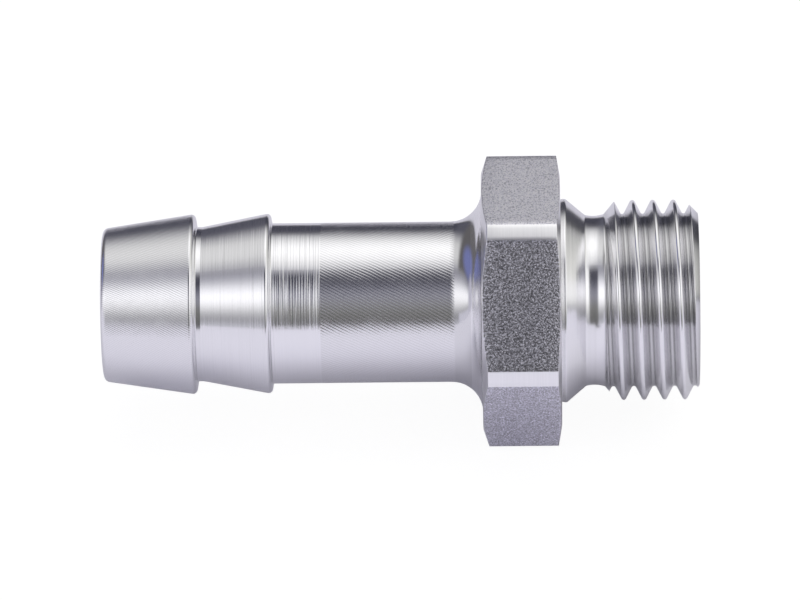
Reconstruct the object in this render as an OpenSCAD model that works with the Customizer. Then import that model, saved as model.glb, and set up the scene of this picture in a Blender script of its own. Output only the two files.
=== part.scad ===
// Air coupling nipple: a barbed hose tail, a spanner hexagon and a male pipe thread,
// turned from one hexagonal bar. The axis of the part is X, with the thread towards +X.
// The origin is on the axis, in the hexagon's face on the thread side, where a seal sits.

/* [Hose tail] */
// Length from the nose to the hexagon
tail_len = 24.8; // [18:0.1:40]
// Diameter of the plain stem
stem_d = 10.5; // [9.8:0.05:11.4]
// Diameter of the nose, where the first barb starts
nose_d = 10; // [9:0.05:11]
// Radius of the nose's outer edge
nose_round = 0.4; // [0.1:0.05:0.7]
// Diameter over both barbs
barb_d = 11.75; // [11.5:0.05:13]
// Distance from the nose to the crest of the first barb
first_crest = 5.8; // [4:0.1:7]
// Distance from the first crest to the crest of the second barb
crest_pitch = 4.95; // [4:0.05:6.5]
// Diameter of the groove between the barbs
groove_d = 10.1; // [9.2:0.05:10.8]
// Width of the groove's floor
groove_w = 0.35; // [0.1:0.05:1]
// Radius of the rounded barb crests
crest_round = 0.27; // [0.1:0.01:0.3]
// Lean of a barb's back, from square to the axis
back_lean = 9; // [0:1:30]
// Radius of the neck fillet between the stem and the hexagon
neck_r = 2.05; // [0.5:0.05:2.2]

/* [Hexagon] */
// Width across flats
hex_af = 17; // [16.2:0.1:19]
// Thickness along the axis
hex_len = 5.15; // [4:0.05:8]
// Diameter turned on the six corners
hex_corner_d = 19; // [18.8:0.05:19.6]
// Diameter of the flat ring that faces the seal, inside the edge chamfer
seal_ring_d = 16.3; // [15.2:0.1:16.8]
// Angle of the edge chamfer on the seal's side, from square to the axis
seal_chamfer = 11; // [8:1:30]
// Diameter of the flat ring on the tail's side
back_ring_d = 16.7; // [16:0.1:16.9]
// Angle of the edge chamfer on the tail's side, from square to the axis
back_chamfer = 18; // [8:1:30]

/* [Seal collar and undercut] */
// Diameter of the collar that centres the seal
collar_d = 13.3; // [12.6:0.05:14]
// Length of the collar's straight part
collar_len = 0.28; // [0.1:0.02:1]
// Diameter at the deepest point of the undercut
undercut_d = 11.12; // [10.6:0.02:11.3]
// Distance from the hexagon to the deepest point
undercut_mid = 2.1; // [2:0.05:2.6]
// Radius of the undercut's floor
undercut_r = 2.15; // [1.5:0.05:2.6]
// Angle of the undercut's two flanks, from the axis
undercut_flank = 40; // [30:1:50]
// Distance from the hexagon to the foot of the flank on the thread's side
thread_start = 2.84; // [2.7:0.01:3.4]

/* [Thread] */
// Outside diameter of the pipe thread
thread_d = 13.157; // [12.9:0.001:13.2]
// Pitch
thread_pitch = 1.337; // [1.3:0.001:1.4]
// Angle between the flanks
thread_angle = 55; // [50:1:60]
// Width of the flat on the crest and in the root
thread_flat = 0.2229; // [0.18:0.0001:0.24]
// Distance from the hexagon to the end of the thread
thread_len = 9; // [7.5:0.1:14]
// Diameter of the end face, where the end chamfer starts
thread_end_d = 11.3; // [10.4:0.1:12]
// Angle of the end chamfer, from the axis
end_chamfer = 45; // [30:1:60]
// Turn of the thread about the axis
thread_phase = 1.7; // [0:0.1:359]

/* [Bore] */
// Diameter of the through bore
bore_d = 7.5; // [5:0.1:8]
// Chamfer on the bore's edge at the nose
nose_bevel = 0.3; // [0.1:0.05:0.5]
// Chamfer on the bore's edge at the thread end
end_bevel = 0.6; // [0.2:0.05:0.8]

/* [Hidden] */
nose_x = -(hex_len + tail_len);
first_crest_x = nose_x + first_crest;
second_crest_x = first_crest_x + crest_pitch;
// Depth of the thread, between its two flats
thread_depth = (thread_pitch / 2 - thread_flat) / tan(thread_angle / 2);
thread_root_r = thread_d / 2 - thread_depth;
// The thread tool starts in the undercut, this share of a pitch before the thread
tool_lead = 0.25;
tool_start_x = thread_start - tool_lead * thread_pitch;
// It stops in the open, this share of a pitch past the end face
tool_run_out = 0.7;
tool_turns = (thread_len - tool_start_x) / thread_pitch + tool_run_out;
steps_per_turn = 30;
tool_rings = ceil(steps_per_turn * tool_turns);
cut_over = 1;
$fn = 96;

// Lean of a line from point p that touches the far side of a circle, both in [radius, x]
function touch_lean(p, centre, r) =
    atan2(centre[0] - p[0], centre[1] - p[1]) + asin(r / norm(centre - p));

// Where a line of that lean touches the circle
function touch_point(centre, r, lean) = centre + r * [cos(lean), -sin(lean)];

// Centre of a barb's round crest, and the two ends of its straight back
function crest_centre(crest_x) = [barb_d / 2 - crest_round, crest_x];
function back_top(crest_x) =
    crest_centre(crest_x) + crest_round * [sin(back_lean), cos(back_lean)];
function back_foot(crest_x) =
    let (top = back_top(crest_x), foot_r = groove_d / 2)
    [foot_r, top[1] + (top[0] - foot_r) * tan(back_lean)];

// Half section of one barb: a cone up to a round crest, and a leaning back
module barb_section(cone_foot, crest_x) {
    centre = crest_centre(crest_x);
    cone_lean = touch_lean(cone_foot, centre, crest_round);
    polygon([
        [0, cone_foot[1]],
        cone_foot,
        touch_point(centre, crest_round, cone_lean),
        back_top(crest_x),
        back_foot(crest_x),
        [0, back_foot(crest_x)[1]]
    ]);
    translate(centre) circle(r = crest_round);
}

// Half section of the first barb, with the nose's outer edge rounded
module nose_section() {
    cone_foot = [nose_d / 2, nose_x];
    lean = touch_lean(cone_foot, crest_centre(first_crest_x), crest_round);
    // The edge circle touches both the end face and the barb's cone
    edge_r = cone_foot[0] - nose_round * (1 - sin(lean)) / cos(lean);
    edge = [edge_r, nose_x + nose_round];
    edge_top = touch_point(edge, nose_round, lean);
    difference() {
        barb_section(cone_foot, first_crest_x);
        polygon([
            [edge_r, nose_x - cut_over],
            [nose_d, nose_x - cut_over],
            [nose_d, edge_top[1]],
            edge_top,
            edge
        ]);
    }
    translate(edge) circle(r = nose_round);
}

// Half section of the hose tail: two barbs, the groove between them, the stem and its fillet
module tail_section() {
    second_foot = back_foot(first_crest_x) + [0, groove_w];
    neck_x = -hex_len - neck_r;
    nose_section();
    translate([0, first_crest_x]) square([groove_d / 2, crest_pitch]);
    barb_section(second_foot, second_crest_x);
    translate([0, second_crest_x]) square([stem_d / 2, -hex_len - second_crest_x]);
    difference() {
        translate([0, neck_x]) square([stem_d / 2 + neck_r, neck_r]);
        translate([stem_d / 2 + neck_r, neck_x]) circle(r = neck_r);
    }
}

// Where a line from point p, in direction u, leaves a circle around centre
function way_out(p, u, centre, r) =
    let (v = p - centre, along = u * v)
    p + u * (sqrt(pow(along, 2) - v * v + r * r) - along);

// Half section of the collar, the undercut and the thread's blank with its end chamfer
module thread_section() {
    crest_r = thread_d / 2;
    end_r = thread_end_d / 2;
    collar_edge = [collar_d / 2, collar_len];
    downhill = [-sin(undercut_flank), cos(undercut_flank)];
    floor_centre = [undercut_d / 2 + undercut_r, undercut_mid];
    collar_foot = way_out(collar_edge, downhill, floor_centre, undercut_r);
    thread_foot_r = floor_centre[0]
        - sqrt(pow(undercut_r, 2) - pow(thread_start - undercut_mid, 2));
    thread_foot = [thread_foot_r, thread_start];
    difference() {
        polygon([
            [0, -cut_over],
            [collar_d / 2, -cut_over],
            collar_edge,
            collar_foot,
            thread_foot,
            [crest_r, thread_start + (crest_r - thread_foot_r) / tan(undercut_flank)],
            [crest_r, thread_len - (crest_r - end_r) / tan(end_chamfer)],
            [end_r, thread_len],
            [0, thread_len]
        ]);
        // The round floor lies under the line between the two feet
        intersection() {
            translate(floor_centre) circle(r = undercut_r);
            polygon([
                collar_foot,
                thread_foot,
                thread_foot - [undercut_r, 0],
                collar_foot - [undercut_r, 0]
            ]);
        }
    }
}

// Half section that turns the hexagon's corners and chamfers both of its ends
module hexagon_limits() {
    corner_r = hex_corner_d / 2;
    back_r = back_ring_d / 2;
    seal_r = seal_ring_d / 2;
    polygon([
        [0, -hex_len],
        [back_r, -hex_len],
        [corner_r, (corner_r - back_r) * tan(back_chamfer) - hex_len],
        [corner_r, (seal_r - corner_r) * tan(seal_chamfer)],
        [seal_r, 0],
        [0, 0]
    ]);
}

// Turns a half section about the X axis
module turned() {
    rotate([0, 90, 0]) rotate_extrude() children();
}

// The hexagonal bar, with flats facing up and down, inside its turned limits
module hexagon() {
    intersection() {
        translate([-hex_len - cut_over, 0, 0])
            rotate([0, 90, 0])
                rotate([0, 0, 30])
                    cylinder(d = hex_af / cos(30), h = hex_len + 2 * cut_over, $fn = 6);
        turned() hexagon_limits();
    }
}

// Section of the thread tool: [distance from the middle of the groove, radius].
// It stands past the crest, by half of what would make neighbouring turns touch.
function tool_section() =
    let (root_half = thread_flat / 2,
         outer_half = (thread_pitch - root_half) / 2,
         outer_r = thread_root_r + (outer_half - root_half) / tan(thread_angle / 2))
    [
        [-root_half, thread_root_r],
        [root_half, thread_root_r],
        [outer_half, outer_r],
        [-outer_half, outer_r]
    ];

// The path of the thread tool: a right-hand helix as one closed solid
module thread_tool() {
    section = tool_section();
    sides = len(section);
    points = [
        for (i = [0 : tool_rings])
            let (turn = 360 * i / steps_per_turn, angle = turn + thread_phase)
            for (p = section)
                [
                    tool_start_x + thread_pitch * turn / 360 + p[0],
                    p[1] * cos(angle),
                    p[1] * sin(angle)
                ]
    ];
    walls = [
        for (i = [0 : tool_rings - 1])
            for (k = [0 : sides - 1])
                let (a = i * sides + k,
                     b = i * sides + (k + 1) % sides,
                     c = a + sides,
                     d = b + sides)
                each [[a, d, b], [a, c, d]]
    ];
    start_cap = [[for (k = [0 : sides - 1]) k]];
    end_cap = [[for (k = [sides - 1 : -1 : 0]) tool_rings * sides + k]];
    polyhedron(points, concat(start_cap, walls, end_cap), convexity = 10);
}

// The bore, with a chamfer at each end
module bore() {
    bore_r = bore_d / 2;
    turned() polygon([
        [0, nose_x - cut_over],
        [bore_r + nose_bevel + cut_over, nose_x - cut_over],
        [bore_r, nose_x + nose_bevel],
        [bore_r, thread_len - end_bevel],
        [bore_r + end_bevel + cut_over, thread_len + cut_over],
        [0, thread_len + cut_over]
    ]);
}

module nipple() {
    color("silver") difference() {
        union() {
            turned() tail_section();
            hexagon();
            turned() thread_section();
        }
        bore();
        thread_tool();
    }
}

nipple();
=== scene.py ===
# Air coupling nipple: surface detail, metal finishes, studio and camera
import bpy
import math
import numpy as np
from mathutils import Matrix, Vector


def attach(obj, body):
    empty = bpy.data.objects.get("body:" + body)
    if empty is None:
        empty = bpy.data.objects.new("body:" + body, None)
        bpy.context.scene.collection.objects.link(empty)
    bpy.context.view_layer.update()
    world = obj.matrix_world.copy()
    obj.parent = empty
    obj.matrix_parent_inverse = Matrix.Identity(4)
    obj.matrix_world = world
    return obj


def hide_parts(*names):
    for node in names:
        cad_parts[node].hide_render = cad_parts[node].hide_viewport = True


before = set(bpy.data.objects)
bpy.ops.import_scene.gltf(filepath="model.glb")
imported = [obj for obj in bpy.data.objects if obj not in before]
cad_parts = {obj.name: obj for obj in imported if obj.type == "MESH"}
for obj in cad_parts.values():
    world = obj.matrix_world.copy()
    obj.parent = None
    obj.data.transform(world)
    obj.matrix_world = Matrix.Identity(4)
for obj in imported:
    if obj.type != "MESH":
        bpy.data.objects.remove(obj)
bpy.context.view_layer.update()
scene = bpy.context.scene
mm = 0.001
perMetre = 1000.0
print("frame loaded")


# Helpers for node trees

def addNode(tree, kind, inputs=None, **settings):
    node = tree.nodes.new(kind)
    for name, value in settings.items():
        setattr(node, name, value)
    for name, value in (inputs or {}).items():
        feed(tree, node.inputs[name], value)
    return node


def feed(tree, socket, value):
    # a socket gets a link, a node's first output gets linked too, and anything else is its default
    if isinstance(value, bpy.types.NodeSocket):
        tree.links.new(value, socket)
    elif isinstance(value, bpy.types.Node):
        tree.links.new(value.outputs[0], socket)
    else:
        socket.default_value = value


def calc(tree, operation, *values, clamp=False):
    node = tree.nodes.new("ShaderNodeMath")
    node.operation = operation
    node.use_clamp = clamp
    for socket, value in zip(node.inputs, values):
        feed(tree, socket, value)
    return node.outputs[0]


def rise(tree, value, start, end):
    # 0 before start, 1 after end, smooth between
    node = addNode(tree, "ShaderNodeMapRange", interpolation_type="SMOOTHSTEP")
    for name, number in (("Value", value), ("From Min", start), ("From Max", end)):
        feed(tree, node.inputs[name], number)
    return node.outputs["Result"]


def blend(tree, factor, first, second):
    # a mix node has sockets for every kind of value, and these are the ones for colours
    node = addNode(tree, "ShaderNodeMix", data_type="RGBA", clamp_factor=True)
    feed(tree, node.inputs[0], factor)
    feed(tree, node.inputs[6], first)
    feed(tree, node.inputs[7], second)
    return node.outputs[2]


def ramp(tree, value, stops):
    node = tree.nodes.new("ShaderNodeValToRGB")
    feed(tree, node.inputs[0], value)
    points = node.color_ramp.elements
    while len(points) < len(stops):
        points.new(0.5)
    for point, (place, colour) in zip(points, stops):
        point.position = place
        point.color = (*colour, 1)
    return node.outputs[0]


# The turned body, in millimetres

body = dict(
    # hose tail
    noseX=-29.95, noseFoot=5.0, noseRound=0.4, noseBevel=0.3, firstCrest=5.8, crestPitch=4.95,
    barbTop=5.875, crestRound=0.27, backLean=9.0, barbFoot=0.08, groove=5.05, grooveWide=0.35,
    stem=5.25, finishX=-15.63, neckRound=2.05,
    # hexagon, with the turned rings at its ends and the lands on its corners
    hexLong=5.15, acrossFlats=17.0, cornerTurned=9.5, tailRing=8.35, tailLean=18.0, sealRing=8.15,
    sealLean=9.5, ringGuard=(0.004, 0.03), landBreak=0.008, landGuard=0.22, cornerGuard=28.2,
    flatColumns=23, flatRows=(0.25, 0.5, 0.75),
    # collar and undercut
    collar=6.65, collarRise=0.06, collarLong=0.31, collarRound=0.17, collarFoot=0.2, flankLean=40.0,
    floorDeep=5.53, floorX=2.14, floorRound=2.15, floorSteps=20, rampX=2.84, rampLean=50.0,
    # thread and bore
    threadFrom=2.3, threadStep=0.02, threadTop=6.54, threadEnd=5.65, endX=9.0, bore=3.75, endBevel=0.6,
    # broken edges
    edgeBreak=0.04, breakMiddle=0.006)


# Angles in degrees: from the middle of a flat to its corner, and where the upper flat and the lower one
# face, which are painted lighter as painted light. Two angles closer than the slack are the same one.
halfFlat = 30
upperFacing = 90
lowerFacing = 210
angleSlack = 0.01


# How much of the sides beside it an arc at a corner may use, how fine its steps are, and how far off
# the guard rows lie that keep those sides flat
arcs = dict(ownSide=0.98, sharedSide=0.48, degreesPerStep=9, fewestSteps=3, guard=0.03, guardShare=0.3)


def rounded(points):
    # a polyline of (x, r, rounding, zone) becomes points with arcs at its corners,
    # where each zone names the stretch that starts at its point
    out = []
    for i, (x, r, rounding, zone) in enumerate(points):
        here = np.array((x, r))
        if i == 0 or i == len(points) - 1 or rounding == 0:
            out.append((here, zone))
            continue
        before = np.array(points[i - 1][:2]) - here
        after = np.array(points[i + 1][:2]) - here
        toBefore, toAfter = before / np.linalg.norm(before), after / np.linalg.norm(after)
        turn = math.acos(np.clip(toBefore @ toAfter, -1, 1))
        # an arc may take nearly a whole side, or half of one that it shares with the next arc
        spare = [np.linalg.norm(side) * (arcs["sharedSide"] if other[2] else arcs["ownSide"])
                 for side, other in ((before, points[i - 1]), (after, points[i + 1]))]
        reach = min(rounding / math.tan(turn / 2), *spare)
        radius = reach * math.tan(turn / 2)
        halfway = (toBefore + toAfter) / np.linalg.norm(toBefore + toAfter)
        middle = here + halfway * radius / math.sin(turn / 2)
        start, end = here + toBefore * reach, here + toAfter * reach
        startAngle = math.atan2(*(start - middle)[::-1])
        endAngle = math.atan2(*(end - middle)[::-1])
        sweep = (endAngle - startAngle + math.pi) % (2 * math.pi) - math.pi
        steps = max(arcs["fewestSteps"], math.ceil(abs(math.degrees(sweep)) / arcs["degreesPerStep"]))
        left = min(np.linalg.norm(before), np.linalg.norm(after)) - reach
        guard = min(arcs["guard"], arcs["guardShare"] * left)
        last = points[i - 1][3]
        out.append((start + toBefore * guard, last))
        for k in range(steps + 1):
            angle = startAngle + sweep * k / steps
            onArc = middle + radius * np.array((math.cos(angle), math.sin(angle)))
            out.append((onArc, last if k < steps // 2 else zone))
        out.append((end + toAfter * guard, zone))
    return out


def barb(footX, footR, crestX):
    # the sharp corner of one barb's crest, and a function for its leaning back
    crestRound = body["crestRound"]
    lean = math.radians(body["backLean"])
    top = np.array((crestX, body["barbTop"] - crestRound))
    toTop = top - np.array((footX, footR))
    tilt = math.atan2(toTop[1], toTop[0]) + math.asin(crestRound / np.linalg.norm(toTop))
    # the cone's line and the back's line both touch the crest's rounding, and meet at the sharp corner
    backPoint = top + crestRound * np.array((math.cos(lean), math.sin(lean)))
    along = np.array((math.cos(tilt), math.sin(tilt)))
    down = np.array((math.sin(lean), -math.cos(lean)))
    reach = np.linalg.solve(np.array((along, -down)).T, backPoint - np.array((footX, footR)))
    corner = np.array((footX, footR)) + along * reach[0]
    return corner, lambda r: backPoint[0] + (backPoint[1] - r) * math.tan(lean)


def profile():
    # the half section in two stretches, before and after the hexagon, as rows of ((x, r), zone)
    edge = body["edgeBreak"]
    crest1 = body["noseX"] + body["firstCrest"]
    crest2 = crest1 + body["crestPitch"]
    corner1, back1 = barb(body["noseX"], body["noseFoot"], crest1)
    foot2 = back1(body["groove"]) + body["grooveWide"]
    corner2, back2 = barb(foot2, body["groove"], crest2)
    lean = math.radians(body["flankLean"])
    collarEdge = (body["collarLong"], body["collar"] + body["collarRise"] / 2)
    floorCentre = np.array((body["floorX"], body["floorDeep"] + body["floorRound"]))
    # where the collar's flank meets the undercut's round floor
    fromCentre = np.array(collarEdge) - floorCentre
    downhill = np.array((math.cos(lean), -math.sin(lean)))
    along = downhill @ fromCentre
    reach = math.sqrt(along ** 2 - fromCentre @ fromCentre + body["floorRound"] ** 2) - along
    collarFoot = np.array(collarEdge) + downhill * reach
    rampFootR = floorCentre[1] - math.sqrt(body["floorRound"] ** 2 - (body["rampX"] - body["floorX"]) ** 2)
    tail = [
        (body["noseX"] + body["noseBevel"], body["bore"], edge, "face"),
        (body["noseX"], body["bore"] + body["noseBevel"], edge, "face"),
        (body["noseX"], body["noseFoot"], body["noseRound"], "barb"),
        (*corner1, body["crestRound"], "groove"),
        (back1(body["groove"]), body["groove"], body["barbFoot"], "groove"),
        (foot2, body["groove"], body["barbFoot"], "lines"),
        (*corner2, body["crestRound"], "groove"),
        (back2(body["stem"]), body["stem"], body["barbFoot"], "plain"),
        (body["finishX"], body["stem"], 0, "stem"),
        (-body["hexLong"], body["stem"], body["neckRound"], "neck"),
        (-body["hexLong"], body["tailRing"], 0, "neck")]
    head = [
        (0, body["sealRing"], 0, "neck"),
        (0, body["collar"] - body["collarRise"] / 2, edge, "relief"),
        (*collarEdge, body["collarRound"], "relief"),
        (*collarFoot, body["collarFoot"], "relief")]
    floor = []
    startAngle = math.atan2(*(collarFoot - floorCentre)[::-1])
    endAngle = math.atan2(rampFootR - floorCentre[1], body["rampX"] - floorCentre[0])
    for k in range(1, body["floorSteps"]):
        angle = startAngle + (endAngle - startAngle) * k / body["floorSteps"]
        place = floorCentre + body["floorRound"] * np.array((math.cos(angle), math.sin(angle)))
        if place[0] < body["threadFrom"]:
            floor.append((place, "relief"))
    thread = []
    rampSlope = math.tan(math.radians(body["rampLean"]))
    chamferX = body["endX"] - (body["threadTop"] - body["threadEnd"])
    threadLong = body["endX"] - body["threadFrom"]
    for x in np.linspace(body["threadFrom"], body["endX"], round(threadLong / body["threadStep"]) + 1):
        if x < body["rampX"]:
            r = floorCentre[1] - math.sqrt(body["floorRound"] ** 2 - (x - body["floorX"]) ** 2)
        else:
            onRamp = rampFootR + (x - body["rampX"]) * rampSlope
            r = min(onRamp, body["threadTop"], body["threadTop"] - (x - chamferX))
        thread.append((np.array((x, r)), "thread"))
    end = [
        (body["endX"], body["threadEnd"], 0, "face"),
        (body["endX"], body["bore"] + body["endBevel"], edge, "face"),
        (body["endX"] - body["endBevel"], body["bore"], edge, "bore"),
        (body["noseX"] + body["noseBevel"], body["bore"], 0, "bore")]
    tailRows = rounded(tail)
    headRows = rounded(head + [(*floor[0][0], 0, "relief")])[:-1]
    endRows = rounded(end)[1:-1]
    return tailRows, headRows + floor + thread + endRows


def columns():
    # angles about the axis, with a column at each edge of each corner land, and the angle of that edge
    edge = math.degrees(math.acos(body["acrossFlats"] / 2 / body["cornerTurned"]))
    inner, outer = edge - body["landGuard"], edge + body["landGuard"]
    flat = list(np.linspace(-inner, inner, body["flatColumns"]))
    sector = [-halfFlat, -body["cornerGuard"], -outer, -edge] + flat + [edge, outer, body["cornerGuard"]]
    middles = range(halfFlat, 360 + halfFlat, 2 * halfFlat)
    angles = [middle + offset for middle in middles for offset in sector]
    return np.radians(angles), edge


def buildBlank():
    # the turned blank's points and faces, and the name of each face's zone
    tailRows, restRows = profile()
    angles, landEdge = columns()
    local = np.degrees(angles) % (2 * halfFlat) - halfFlat
    hexR = np.minimum(body["acrossFlats"] / 2 / np.cos(np.radians(local)), body["cornerTurned"])
    onEdge = np.abs(np.abs(local) - landEdge) < angleSlack
    hexR = np.where(onEdge, hexR - body["landBreak"], hexR)
    tailSlope, sealSlope = (math.tan(math.radians(body[name])) for name in ("tailLean", "sealLean"))
    rowsX, rowsR, zones = [], [], []

    def addRow(x, r, zone):
        rowsX.append(np.broadcast_to(x, angles.shape).astype(float))
        rowsR.append(np.broadcast_to(r, angles.shape).astype(float))
        zones.append(zone)

    for (x, r), zone in tailRows:
        addRow(x, r, zone)
    zones[-1] = "chamfer"
    edge = body["edgeBreak"]
    halfBreak = body["breakMiddle"]
    guardX, guardR = body["ringGuard"]
    back = (hexR - body["tailRing"]) * tailSlope - body["hexLong"]
    front = (body["sealRing"] - hexR) * sealSlope
    addRow(-body["hexLong"] + guardX, body["tailRing"] + guardR, "chamfer")
    addRow(back - edge * tailSlope, hexR - edge, "chamfer")
    addRow(back + halfBreak, hexR - halfBreak, "hexagon")
    addRow(back + edge, hexR, "hexagon")
    for share in body["flatRows"]:
        addRow(back + edge + (front - back - 2 * edge) * share, hexR, "hexagon")
    addRow(front - edge, hexR, "hexagon")
    addRow(front - halfBreak, hexR - halfBreak, "chamfer")
    addRow(front + edge * sealSlope, hexR - edge, "chamfer")
    addRow(-guardX, body["sealRing"] + guardR, "chamfer")
    for (x, r), zone in restRows:
        addRow(x, r, zone)
    x, r = np.array(rowsX), np.array(rowsR)
    rows, cols = x.shape
    points = np.stack((x, r * np.cos(angles), r * np.sin(angles)), axis=-1).reshape(-1, 3) * mm
    faces, slots = [], []
    land = np.abs(local) > landEdge - angleSlack
    upper, lower = (np.abs(np.degrees(angles) % 360 - facing) < halfFlat
                    for facing in (upperFacing, lowerFacing))
    for i in range(rows):
        below = (i + 1) % rows
        for j in range(cols):
            right = (j + 1) % cols
            faces.append((i * cols + j, i * cols + right, below * cols + right, below * cols + j))
            slot = zones[i]
            if slot == "hexagon" and land[j] and land[right]:
                slot = "land"
            # painted light: the flats facing up and down towards the camera take lighter copies of the
            # flat's finish
            elif slot == "hexagon" and upper[j]:
                slot = "paintedLitTopFlat"
            elif slot == "hexagon" and lower[j]:
                slot = "paintedLitLowFlat"
            slots.append(slot)
    return points, faces, slots


# Metal finishes

finish = dict(
    metal=(0.86, 0.855, 0.87), drawnCast=(0.98, 0.97, 1.05),
    # how rough each kind of surface is
    roughTurned=0.15, roughRelief=0.16, roughNeck=0.12, roughRidge=0.27, roughFlat=0.22, roughTopFlat=0.34,
    roughLand=0.28, roughThread=0.14, roughBore=0.32,
    # fine and wide turned rings
    lineFine=0.055, lineWide=0.23, wideShare=2.2, wideWander=0.3,
    # slanting hatch
    drift=5.0, driftScale=0.6, steepness=0.4, steepShift=0.8, patchScale=0.9, patchStrength=(1.2, 0.4),
    ridgeShare=(0.42, 0.45), hatchRings=0.0006, hatchShade=(0.86, 1.03), hatchEnd=(-7.02, -6.86),
    # the drawn bar's grain, and the painted shade in the thread's roots
    grain=0.11, grit=0.06, gritShare=0.4, gritDepth=0.3, rootShadeDepths=(5.62, 6.1), rootShadeFrom=(2.7, 3.0))


def startMetal(name, roughness):
    material = bpy.data.materials.new(name)
    material.use_nodes = True
    tree = material.node_tree
    shader = tree.nodes["Principled BSDF"]
    shader.inputs["Metallic"].default_value = 1.0
    shader.inputs["Roughness"].default_value = roughness
    place = addNode(tree, "ShaderNodeTexCoord").outputs["Object"]
    scaled = addNode(tree, "ShaderNodeVectorMath", {0: place}, operation="SCALE")
    scaled.inputs["Scale"].default_value = perMetre  # patterns are written in millimetres
    return material, tree, shader, scaled.outputs[0]


def polar(tree, place):
    # distance along the axis, angle about it and distance from it
    x, y, z = addNode(tree, "ShaderNodeSeparateXYZ", {0: place}).outputs
    squares = calc(tree, "ADD", calc(tree, "MULTIPLY", y, y), calc(tree, "MULTIPLY", z, z))
    return x, calc(tree, "ARCTAN2", z, y), calc(tree, "SQRT", squares)


def noiseOn(tree, vector, scale, detail=2.0, rough=0.5):
    inputs = {"Vector": vector, "Scale": scale, "Detail": detail, "Roughness": rough}
    return addNode(tree, "ShaderNodeTexNoise", inputs).outputs["Fac"]


def rings(tree, along, turn, pitch, wander=0.15):
    # grooves that run round the part, and wander lets a groove fade and start again on its way
    cosine = calc(tree, "MULTIPLY", calc(tree, "COSINE", turn), wander)
    sine = calc(tree, "MULTIPLY", calc(tree, "SINE", turn), wander)
    steps = calc(tree, "DIVIDE", along, pitch)
    vector = addNode(tree, "ShaderNodeCombineXYZ", {0: steps, 1: cosine, 2: sine}).outputs[0]
    return noiseOn(tree, vector, scale=1.0, detail=2.0, rough=0.6)


def hatch(tree, place, x, turn, around, along):
    # the slanting marks that a chattering tool leaves: a whole number of them round the part,
    # not quite even, and steeper on one side than on the other
    byTurn = calc(tree, "MULTIPLY", turn, float(around))
    phase = calc(tree, "MULTIPLY_ADD", x, 2 * math.pi / along, byTurn)
    drift = noiseOn(tree, place, finish["driftScale"], detail=1.0)
    phase = calc(tree, "MULTIPLY_ADD", drift, finish["drift"], phase)
    steep = calc(tree, "SINE", calc(tree, "MULTIPLY_ADD", phase, 2.0, finish["steepShift"]))
    return calc(tree, "MULTIPLY_ADD", steep, finish["steepness"], calc(tree, "SINE", phase))


def raiseBy(tree, shader, layers):
    # stacks bumps, each (height, depth in millimetres)
    normal = None
    for height, depth in layers:
        bump = addNode(tree, "ShaderNodeBump", {"Height": height, "Distance": depth * mm, "Strength": 1.0})
        if normal is not None:
            tree.links.new(normal, bump.inputs["Normal"])
        normal = bump.outputs[0]
    tree.links.new(normal, shader.inputs["Normal"])


def tint(tree, shader, value, low, high, cast=(1, 1, 1)):
    # base colour between two greys of the metal
    metal = [m * c for m, c in zip(finish["metal"], cast)]
    colour = blend(tree, value, (*(c * low for c in metal), 1), (*(c * high for c in metal), 1))
    tree.links.new(colour, shader.inputs["Base Color"])


def turnedSteel(name, lineDepth, roughness, pitch=None, radial=False, shade=(0.86, 1.04)):
    material, tree, shader, place = startMetal(name, roughness)
    x, turn, radius = polar(tree, place)
    along = radius if radial else x
    fine = rings(tree, along, turn, pitch or finish["lineFine"])
    wide = rings(tree, along, turn, finish["lineWide"], finish["wideWander"])
    raiseBy(tree, shader, [(wide, lineDepth * finish["wideShare"]), (fine, lineDepth)])
    tint(tree, shader, fine, *shade)
    return material


def threadedSteel(name, roughness, shade):
    # painted shade: darker towards the roots, but not on the ramp before the first of them
    material, tree, shader, place = startMetal(name, roughness)
    x, _, radius = polar(tree, place)
    beforeRoots = calc(tree, "SUBTRACT", 1.0, rise(tree, x, *finish["rootShadeFrom"]))
    bright = calc(tree, "MAXIMUM", rise(tree, radius, *finish["rootShadeDepths"]), beforeRoots)
    tint(tree, shader, bright, *shade)
    return material


def hatchedSteel(name, depth, around, along, rough):
    # the marks' ridges are rougher than the metal between them
    material, tree, shader, place = startMetal(name, rough[0])
    x, turn, _ = polar(tree, place)
    marks = hatch(tree, place, x, turn, around, along)
    patches = noiseOn(tree, place, finish["patchScale"], detail=3.0)
    strength = calc(tree, "MULTIPLY_ADD", patches, *finish["patchStrength"])
    ended = calc(tree, "SUBTRACT", 1.0, rise(tree, x, *finish["hatchEnd"]))
    marks = calc(tree, "MULTIPLY", marks, calc(tree, "MULTIPLY", strength, ended))
    ridges = calc(tree, "MULTIPLY_ADD", marks, *finish["ridgeShare"], clamp=True)
    ridges = calc(tree, "MULTIPLY", ridges, ended)
    roughness = calc(tree, "MULTIPLY_ADD", ridges, rough[1] - rough[0], rough[0])
    tree.links.new(roughness, shader.inputs["Roughness"])
    fine = rings(tree, x, turn, finish["lineFine"])
    raiseBy(tree, shader, [(marks, depth), (fine, finish["hatchRings"])])
    tint(tree, shader, ridges, *finish["hatchShade"])
    return material


def drawnSteel(name, roughness, depth, pitted, shade):
    # the bar's own skin: a sandy grain, darker in its pits
    material, tree, shader, place = startMetal(name, roughness)
    grain = noiseOn(tree, place, 1 / finish["grain"], detail=3.0, rough=0.65)
    grit = noiseOn(tree, place, 1 / finish["grit"], detail=2.0, rough=0.6)
    raiseBy(tree, shader, [(grain, depth), (grit, depth * finish["gritDepth"])])
    gritPart = calc(tree, "MULTIPLY", grit, finish["gritShare"])
    skin = calc(tree, "MULTIPLY_ADD", grain, 1 - finish["gritShare"], gritPart)
    tint(tree, shader, rise(tree, skin, *pitted), *shade, cast=finish["drawnCast"])
    return material


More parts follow.
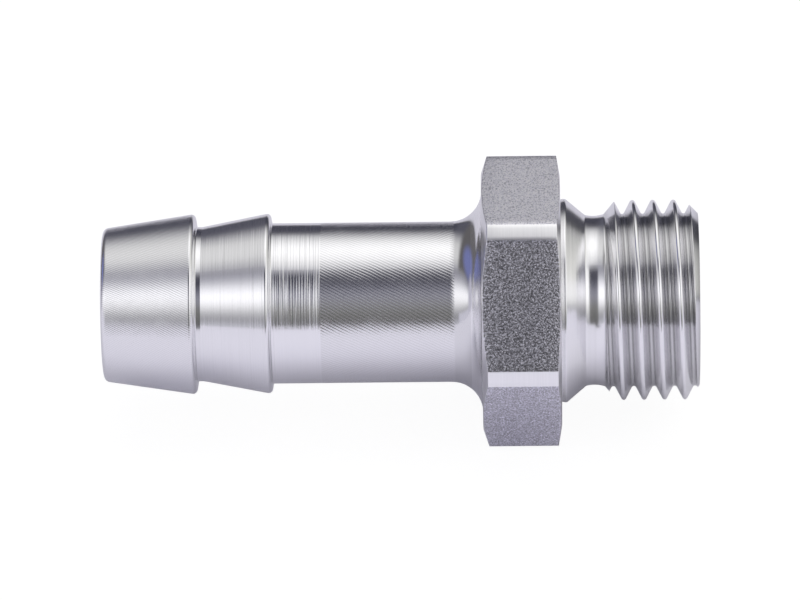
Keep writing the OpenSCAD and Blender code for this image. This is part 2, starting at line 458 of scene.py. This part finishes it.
def makeFinishes():
    # one finish for each zone of the part
    names = ("roughTurned", "roughRelief", "roughLand", "roughFlat")
    turned, relief, land, flat = (finish[name] for name in names)
    stemRough = (finish["roughNeck"], finish["roughRidge"])
    return {
        "face": turnedSteel("endFaceSteel", 0.0015, turned, radial=True),
        "barb": hatchedSteel("hatchedBarbSteel", depth=0.0014, around=230, along=-0.3, rough=(0.13, 0.21)),
        "groove": turnedSteel("barbBackSteel", 0.001, turned),
        "lines": turnedSteel("ringedSteel", 0.006, turned, pitch=0.075, shade=(0.9, 1.04)),
        "plain": turnedSteel("streakedSteel", 0.02, turned, pitch=0.08, shade=(0.94, 1.06)),
        "stem": hatchedSteel("hatchedStemSteel", depth=0.0019, around=158, along=-0.39, rough=stemRough),
        "neck": turnedSteel("neckSteel", 0.0006, turned, pitch=0.09, shade=(0.95, 1.02)),
        "chamfer": turnedSteel("edgeSteel", 0.001, land, radial=True),
        # the same drawn steel three times: the upper and the lower flat are painted lighter, as painted
        # light
        "hexagon": drawnSteel("drawnFlatSteel", flat, depth=0.02, pitted=(0.41, 0.63), shade=(0.16, 1.1)),
        "paintedLitLowFlat": drawnSteel("paintedLitLowFlatSteel", flat, depth=0.016, pitted=(0.41, 0.63), shade=(0.4, 1.15)),
        "paintedLitTopFlat": drawnSteel("paintedLitTopFlatSteel", finish["roughTopFlat"], depth=0.015, pitted=(0.37, 0.55),
                               shade=(0.48, 1.18)),
        "land": turnedSteel("cornerLandSteel", 0.005, land, pitch=0.1, shade=(0.94, 1.08)),
        "relief": turnedSteel("undercutSteel", 0.002, relief, pitch=0.075, shade=(0.88, 1.05)),
        "thread": threadedSteel("rootShadedThreadSteel", finish["roughThread"], shade=(0.65, 1.0)),
        # the bore is painted darker than the outside: painted shade inside the hole
        "bore": turnedSteel("shadedBoreSteel", 0.003, finish["roughBore"], shade=(0.5, 0.7))}


finishes = makeFinishes()
print("finishes ready:", len(finishes))


# The thread, cut into the turned blank by geometry nodes

thread = dict(
    pitch=1.337, top=body["threadTop"], root=5.64, halfAngle=27.5, startX=2.505, turnedBy=1.7,
    cutFrom=2.25)


def threadCutter(material):
    tree = bpy.data.node_groups.new("threadCutter", "GeometryNodeTree")
    tree.interface.new_socket("Blank", in_out="INPUT", socket_type="NodeSocketGeometry")
    for name, value in (
            ("Pitch", thread["pitch"]), ("Top radius", thread["top"]), ("Root radius", thread["root"]),
            ("Half angle", thread["halfAngle"]), ("Start", thread["startX"]),
            ("Turned by", thread["turnedBy"]), ("Cut from", thread["cutFrom"])):
        socket = tree.interface.new_socket(name, in_out="INPUT", socket_type="NodeSocketFloat")
        socket.default_value = value
    tree.interface.new_socket("Part", in_out="OUTPUT", socket_type="NodeSocketGeometry")
    given = addNode(tree, "NodeGroupInput").outputs
    place = addNode(tree, "GeometryNodeInputPosition").outputs[0]
    x, y, z = addNode(tree, "ShaderNodeSeparateXYZ", {0: place}).outputs
    alongMm = calc(tree, "MULTIPLY", x, perMetre)
    squares = calc(tree, "ADD", calc(tree, "MULTIPLY", y, y), calc(tree, "MULTIPLY", z, z))
    r = calc(tree, "MULTIPLY", calc(tree, "SQRT", squares), perMetre)
    around = calc(tree, "DEGREES", calc(tree, "ARCTAN2", z, y))
    turns = calc(tree, "DIVIDE", calc(tree, "SUBTRACT", around, given["Turned by"]), 360.0)
    pitch = given["Pitch"]
    rootX = calc(tree, "MULTIPLY_ADD", pitch, turns, given["Start"])
    half = calc(tree, "MULTIPLY", pitch, 0.5)
    minusHalf = calc(tree, "MULTIPLY", half, -1.0)
    offset = calc(tree, "WRAP", calc(tree, "SUBTRACT", alongMm, rootX), half, minusHalf)
    fromRoot = calc(tree, "ABSOLUTE", offset)
    fromTop = calc(tree, "SUBTRACT", half, fromRoot)
    # the crest and the root have one rounding, which leaves the flanks at the stated angle
    angle = calc(tree, "RADIANS", given["Half angle"])
    tangent, sine, cosine = (calc(tree, name, angle) for name in ("TANGENT", "SINE", "COSINE"))
    depth = calc(tree, "SUBTRACT", given["Top radius"], given["Root radius"])
    sharpDepth = calc(tree, "DIVIDE", half, tangent)
    spare = calc(tree, "MULTIPLY", calc(tree, "SUBTRACT", sharpDepth, depth), 0.5)
    rounding = calc(tree, "DIVIDE", spare, calc(tree, "SUBTRACT", calc(tree, "DIVIDE", 1.0, sine), 1.0))
    reach = calc(tree, "MULTIPLY", rounding, cosine)
    squared = calc(tree, "MULTIPLY", rounding, rounding)

    def arc(distance):
        inside = calc(tree, "SUBTRACT", squared, calc(tree, "MULTIPLY", distance, distance))
        inside = calc(tree, "MAXIMUM", inside, 0.0)
        return calc(tree, "SUBTRACT", rounding, calc(tree, "SQRT", inside))

    rootArc = calc(tree, "ADD", given["Root radius"], arc(fromRoot))
    topArc = calc(tree, "SUBTRACT", given["Top radius"], arc(fromTop))
    sharpRoot = calc(tree, "SUBTRACT", given["Root radius"], spare)
    flank = calc(tree, "ADD", sharpRoot, calc(tree, "DIVIDE", fromRoot, tangent))
    atRoot = calc(tree, "LESS_THAN", fromRoot, reach)
    atTop = calc(tree, "LESS_THAN", fromTop, reach)

    def choose(test, no, yes):
        return calc(tree, "ADD", no, calc(tree, "MULTIPLY", test, calc(tree, "SUBTRACT", yes, no)))

    cut = choose(atTop, choose(atRoot, flank, rootArc), topArc)
    newR = calc(tree, "MINIMUM", r, cut)
    keep = calc(tree, "LESS_THAN", alongMm, given["Cut from"])
    share = calc(tree, "DIVIDE", choose(keep, newR, r), r)
    newY, newZ = (calc(tree, "MULTIPLY", value, share) for value in (y, z))
    moved = addNode(tree, "ShaderNodeCombineXYZ", {0: x, 1: newY, 2: newZ})
    setPosition = addNode(tree, "GeometryNodeSetPosition", {"Geometry": given["Blank"], "Position": moved})
    isThread = addNode(tree, "GeometryNodeInputNamedAttribute", data_type="BOOLEAN")
    isThread.inputs["Name"].default_value = "threaded"
    realized = addNode(tree, "GeometryNodeRealizeInstances", {"Geometry": setPosition.outputs[0]})
    painted = addNode(tree, "GeometryNodeSetMaterial",
                      {"Geometry": realized.outputs[0], "Selection": isThread.outputs["Attribute"]})
    painted.inputs["Material"].default_value = material
    addNode(tree, "NodeGroupOutput", {0: painted.outputs[0]})
    return tree


points, faces, slots = buildBlank()
blankMesh = bpy.data.meshes.new("blank")
blankMesh.from_pydata(points.tolist(), [], faces)
names = list(finishes)
for name in names:
    blankMesh.materials.append(finishes[name])
blankMesh.polygons.foreach_set("material_index", [names.index(s) for s in slots])
threaded = blankMesh.attributes.new("threaded", "BOOLEAN", "FACE")
threaded.data.foreach_set("value", [s == "thread" for s in slots])
blankMesh.validate()
blankMesh.update()
blank = bpy.data.objects.new("blank", blankMesh)
scene.collection.objects.link(blank)
modifier = blank.modifiers.new("cutThread", "NODES")
modifier.node_group = threadCutter(finishes["thread"])
for item in modifier.node_group.interface.items_tree:
    if item.in_out == "INPUT" and item.socket_type == "NodeSocketFloat":
        modifier[item.identifier] = float(item.default_value)
bpy.context.view_layer.update()
depsgraph = bpy.context.evaluated_depsgraph_get()
cutMesh = bpy.data.meshes.new_from_object(blank.evaluated_get(depsgraph), depsgraph=depsgraph)
bpy.data.objects.remove(blank)
nipple = bpy.data.objects.new("turnedNipple", cutMesh)
scene.collection.objects.link(nipple)
corners = np.empty(len(cutMesh.vertices) * 3)
cutMesh.vertices.foreach_get("co", corners)
corners = corners.reshape(-1, 3)
cutMesh.calc_loop_triangles()
triangles = np.empty(len(cutMesh.loop_triangles) * 3, dtype=np.int32)
cutMesh.loop_triangles.foreach_get("vertices", triangles)
first, second, third = (corners[triangles.reshape(-1, 3)[:, k]] for k in range(3))
volume = float(np.einsum("ij,ij->i", first, np.cross(second, third)).sum() / 6) / mm ** 3
if volume < 0:
    cutMesh.flip_normals()
cutMesh.polygons.foreach_set("use_smooth", [True] * len(cutMesh.polygons))
cutMesh.update()
print("body turned and threaded:", len(triangles) // 3, "triangles,", round(volume, 1), "cubic mm")
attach(nipple, "root")
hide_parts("nipple")


# Studio

studio = dict(
    floorZ=-8.5, floorHalf=500.0, paper=(0.92, 0.905, 0.985), seenPaper=0.12, seenGlow=0.93, glossyGlow=0.02,
    fadeFrom=80.0, fadeTo=240.0, frontFrom=-125.0, frontTo=-108.0, frontSpan=(-55.0, -35.0, -12.0, -5.0),
    paintedShadowFrom=-12.0, paintedShadowTo=0.0, paintedShadowShare=0.8, faded=0.1, floorLight=1.46)

# The room's brightness by angle round the part, as (degrees, brightness, coolness):
# 0 is low behind the part, 90 is overhead and 180 is low at the camera.
# Coolness adds blue, and takes this share of itself from red and green.
coolDims = 0.3
roomSpan = 180.0
roomMiddle = [
    (0, 0.075, 0.25), (12, 0.065, 0.25), (22, 0.08, 0.2), (26, 0.15, 0.1), (30, 0.3, 0.05), (35, 0.58, 0.02),
    (40, 0.76, 0.01), (46, 0.95, 0), (54, 1.16, 0), (62, 1.3, 0), (70, 1.34, 0), (78, 1.2, 0), (86, 1.06, 0),
    (93, 0.9, 0.01), (99, 0.57, 0.04), (104, 0.21, 0.1), (109, 0.07, 0.25), (118, 0.07, 0.25),
    (126, 0.135, 0.2), (134, 0.25, 0.16), (142, 0.3, 0.12), (149, 0.265, 0.08), (158, 0.21, -0.02),
    (168, 0.165, -0.02), (176, 0.14, 0.0)]
roomLeft = [
    (0, 0.12, 0.2), (20, 0.12, 0.2), (28, 0.18, 0.12), (35, 0.31, 0.06), (42, 0.48, 0.03), (55, 0.74, 0),
    (66, 0.8, 0), (76, 0.82, 0), (86, 0.72, 0.01), (95, 0.52, 0.05), (103, 0.3, 0.12), (112, 0.3, 0.14),
    (125, 0.36, 0.1), (150, 0.36, 0.05), (164, 0.3, 0.06), (171, 0.28, 0.06), (178, 0.5, 0.08)]
roomRight = [
    (0, 0.08, 0.2), (15, 0.08, 0.1), (21, 0.44, 0.0), (31, 0.6, -0.02), (50, 0.74, -0.03), (75, 0.86, -0.03),
    (98, 1.04, 0), (130, 1.05, 0), (150, 0.92, 0), (164, 0.66, 0.0), (175, 0.5, 0.05)]
# Angles to the side, minus towards the tail: where the overhead light fades, the edges of the dark card
# that hangs near the camera, and where the room's left turns into its right. Only near is an angle
# round the part, between which the camera's half of the room starts.
fade = dict(overhead=(-16.0, -1.0, 3.0, 40.0), cardLeft=(-14.5, -11.0), cardRight=(14.0, 19.0),
            near=(98.0, 106.0), wings=(-5.0, 5.0))
# Two softboxes beside the camera: the height of their middle and their spread, the brightness of each,
# and the angles to the side between which each one starts and ends
box = dict(height=138.0, spread=18.0, left=0.9, right=0.3, leftSpan=(-88.0, -74.0, -15.0, -11.0),
           rightSpan=(15.0, 20.0, 36.0, 48.0))
# A dark corner, a blue panel and two lilac walls. Side and height are the angles between which one
# starts, and edge is how nearly a ray has to point along the panel's way.
farCorner = dict(side=(-22.0, -34.0), height=(108.0, 92.0), colour=(0.15, 0.145, 0.15))
panel = dict(way=(-0.842, 0.25, 0.478), edge=(0.925, 0.993), colour=(0.21, 0.235, 0.49))
lowWall = dict(side=(-28.0, -36.0), height=(163.0, 169.0), colour=(0.7, 0.69, 0.79))
sideWall = dict(side=(-66.0, -76.0), height=(50.0, 70.0), colour=(0.62, 0.61, 0.71))


def between(tree, value, span):
    # 1 inside a span of four angles, with soft sides
    start, full, empty, end = span
    return calc(tree, "MULTIPLY", rise(tree, value, start, full),
                calc(tree, "SUBTRACT", 1.0, rise(tree, value, empty, end)))


def makeFloor():
    half = studio["floorHalf"] * mm
    z = studio["floorZ"] * mm
    mesh = bpy.data.meshes.new("floor")
    square = [(-half, -half, z), (half, -half, z), (half, half, z), (-half, half, z)]
    mesh.from_pydata(square, [], [(0, 1, 2, 3)])
    floor = bpy.data.objects.new("floor", mesh)
    scene.collection.objects.link(floor)
    material = bpy.data.materials.new("paleFloor")
    material.use_nodes = True
    tree = material.node_tree
    tree.nodes.clear()
    path = addNode(tree, "ShaderNodeLightPath").outputs
    camera, glossy = path["Is Camera Ray"], path["Is Glossy Ray"]
    # the paper is painted dark far behind the part, as painted shade where it falls into the dark, and ends
    # in front of it
    place = addNode(tree, "ShaderNodeTexCoord").outputs["Object"]
    along, depth = addNode(tree, "ShaderNodeSeparateXYZ", {0: place}).outputs[:2]
    behind = rise(tree, depth, studio["fadeFrom"] * mm, studio["fadeTo"] * mm)
    ahead = calc(tree, "SUBTRACT", 1.0, rise(tree, depth, studio["frontFrom"] * mm, studio["frontTo"] * mm))
    ahead = calc(tree, "MULTIPLY", ahead, between(tree, along, [edge * mm for edge in studio["frontSpan"]]))
    gone = calc(tree, "MAXIMUM", behind, ahead)
    # painted shadow: the paper is a little darker from under the part to the back
    paintedShadow = rise(tree, depth, studio["paintedShadowFrom"] * mm, studio["paintedShadowTo"] * mm)
    bright, shaded, dark = ((*(c * share for c in studio["paper"]), 1)
                            for share in (1.0, studio["paintedShadowShare"], studio["faded"]))
    paper = blend(tree, gone, blend(tree, paintedShadow, bright, shaded), dark)
    seen = studio["seenPaper"]
    colour = blend(tree, camera, paper, (seen, seen, seen, 1))
    diffuse = addNode(tree, "ShaderNodeBsdfDiffuse", {"Color": colour})
    seenGlow = calc(tree, "MULTIPLY", camera, studio["seenGlow"])
    glossyGlow = calc(tree, "MULTIPLY", glossy, studio["glossyGlow"])
    glow = addNode(tree, "ShaderNodeEmission", {"Strength": calc(tree, "ADD", seenGlow, glossyGlow)})
    both = addNode(tree, "ShaderNodeAddShader", {0: diffuse.outputs[0], 1: glow.outputs[0]})
    addNode(tree, "ShaderNodeOutputMaterial", {"Surface": both.outputs[0]})
    mesh.materials.append(material)


def roomRamp(tree, share, rows):
    stops = []
    for degrees, bright, cool in rows:
        warm = bright * (1 - coolDims * cool)
        stops.append((degrees / roomSpan, (warm, warm, bright * (1 + cool))))
    return ramp(tree, share, stops)


def addZone(tree, room, side, around, zone):
    # paints one corner of the room, where both angles have passed their edges
    inside = calc(tree, "MULTIPLY", rise(tree, side, *zone["side"]), rise(tree, around, *zone["height"]))
    return blend(tree, inside, room, (*zone["colour"], 1))


def makeWorld():
    world = bpy.data.worlds.new("studio")
    scene.world = world
    world.use_nodes = True
    tree = world.node_tree
    tree.nodes.clear()
    way = addNode(tree, "ShaderNodeTexCoord").outputs["Generated"]
    x, y, z = addNode(tree, "ShaderNodeSeparateXYZ", {0: way}).outputs
    above = calc(tree, "MAXIMUM", z, 0.0)
    around = calc(tree, "DEGREES", calc(tree, "ARCTAN2", above, y))
    side = calc(tree, "DEGREES", calc(tree, "ARCSINE", x))
    share = calc(tree, "DIVIDE", around, roomSpan, clamp=True)
    middle, left, right = (roomRamp(tree, share, rows) for rows in (roomMiddle, roomLeft, roomRight))
    wings = blend(tree, rise(tree, side, *fade["wings"]), left, right)
    overhead = between(tree, side, fade["overhead"])
    card = between(tree, side, (*fade["cardLeft"], *fade["cardRight"]))
    near = rise(tree, around, *fade["near"])
    far = calc(tree, "MULTIPLY", calc(tree, "SUBTRACT", 1.0, near), overhead)
    room = blend(tree, calc(tree, "MULTIPLY_ADD", near, card, far), wings, middle)
    # the far corner on the tail's side is dark
    room = addZone(tree, room, side, around, farCorner)
    # a softbox on each side of the camera
    height = calc(tree, "DIVIDE", calc(tree, "SUBTRACT", around, box["height"]), box["spread"])
    fall = calc(tree, "POWER", 2.0, calc(tree, "MULTIPLY", calc(tree, "MULTIPLY", height, height), -1.0))
    lit = calc(tree, "ADD", calc(tree, "MULTIPLY", between(tree, side, box["leftSpan"]), box["left"]),
               calc(tree, "MULTIPLY", between(tree, side, box["rightSpan"]), box["right"]))
    boxes = calc(tree, "MULTIPLY", lit, fall)
    boxColour = addNode(tree, "ShaderNodeCombineXYZ", {0: boxes, 1: boxes, 2: boxes}).outputs[0]
    room = addNode(tree, "ShaderNodeVectorMath", {0: room, 1: boxColour}, operation="ADD").outputs[0]
    # a blue panel far to the left
    toPanel = addNode(tree, "ShaderNodeVectorMath", {0: way, 1: panel["way"]}, operation="DOT_PRODUCT")
    room = blend(tree, rise(tree, toPanel.outputs["Value"], *panel["edge"]), room, (*panel["colour"], 1))
    # lilac walls on the same side, one low and one far out
    room = addZone(tree, room, side, around, lowWall)
    room = addZone(tree, room, side, around, sideWall)
    path = addNode(tree, "ShaderNodeLightPath").outputs
    strength = calc(tree, "MULTIPLY_ADD", path["Is Diffuse Ray"], studio["floorLight"] - 1, 1.0)
    lighting = addNode(tree, "ShaderNodeBackground", {"Color": room, "Strength": strength})
    white = addNode(tree, "ShaderNodeBackground", {"Color": (1, 1, 1, 1), "Strength": 1.0})
    mix = addNode(tree, "ShaderNodeMixShader", {0: path["Is Camera Ray"], 1: lighting, 2: white})
    addNode(tree, "ShaderNodeOutputWorld", {"Surface": mix.outputs[0]})


makeFloor()
makeWorld()
print("studio lit")


# Camera, in the photograph's place and with its lens

view = dict(
    distance=500.0, elevation=32.2, roll=0.57, lens=343.5, yaw=1.013, besideSeal=-1.7, raised=0.144,
    sensor=36, clip=(0.02, 10))


def makeCamera():
    data = bpy.data.cameras.new("camera")
    data.sensor_width = view["sensor"]
    data.lens = view["lens"]
    data.clip_start, data.clip_end = view["clip"]
    camera = bpy.data.objects.new("camera", data)
    scene.collection.objects.link(camera)
    scene.camera = camera
    return camera


camera = makeCamera()
# the lens stands square to the axis, a little beside the seal face, and turns to frame the whole part
lift = math.radians(view["elevation"])
back = np.array((0, -math.cos(lift), math.sin(lift)))
up = np.array((0, math.sin(lift), math.cos(lift)))
eye = np.array((view["besideSeal"], 0, 0)) + back * view["distance"]
yaw = math.radians(view["yaw"])
forward = -back * math.cos(yaw) + np.array((-math.sin(yaw), 0, 0))
right = np.cross(forward, up)
right /= np.linalg.norm(right)
forward = forward + up * view["raised"] / view["distance"]
forward /= np.linalg.norm(forward)
realUp = np.cross(right, forward)
pose = Matrix((right, realUp, -forward)).transposed().to_4x4()
pose.translation = Vector(eye * mm)
camera.matrix_world = pose @ Matrix.Rotation(math.radians(-view["roll"]), 4, "Z")
scene.view_settings.view_transform = "Standard"
print("camera placed")
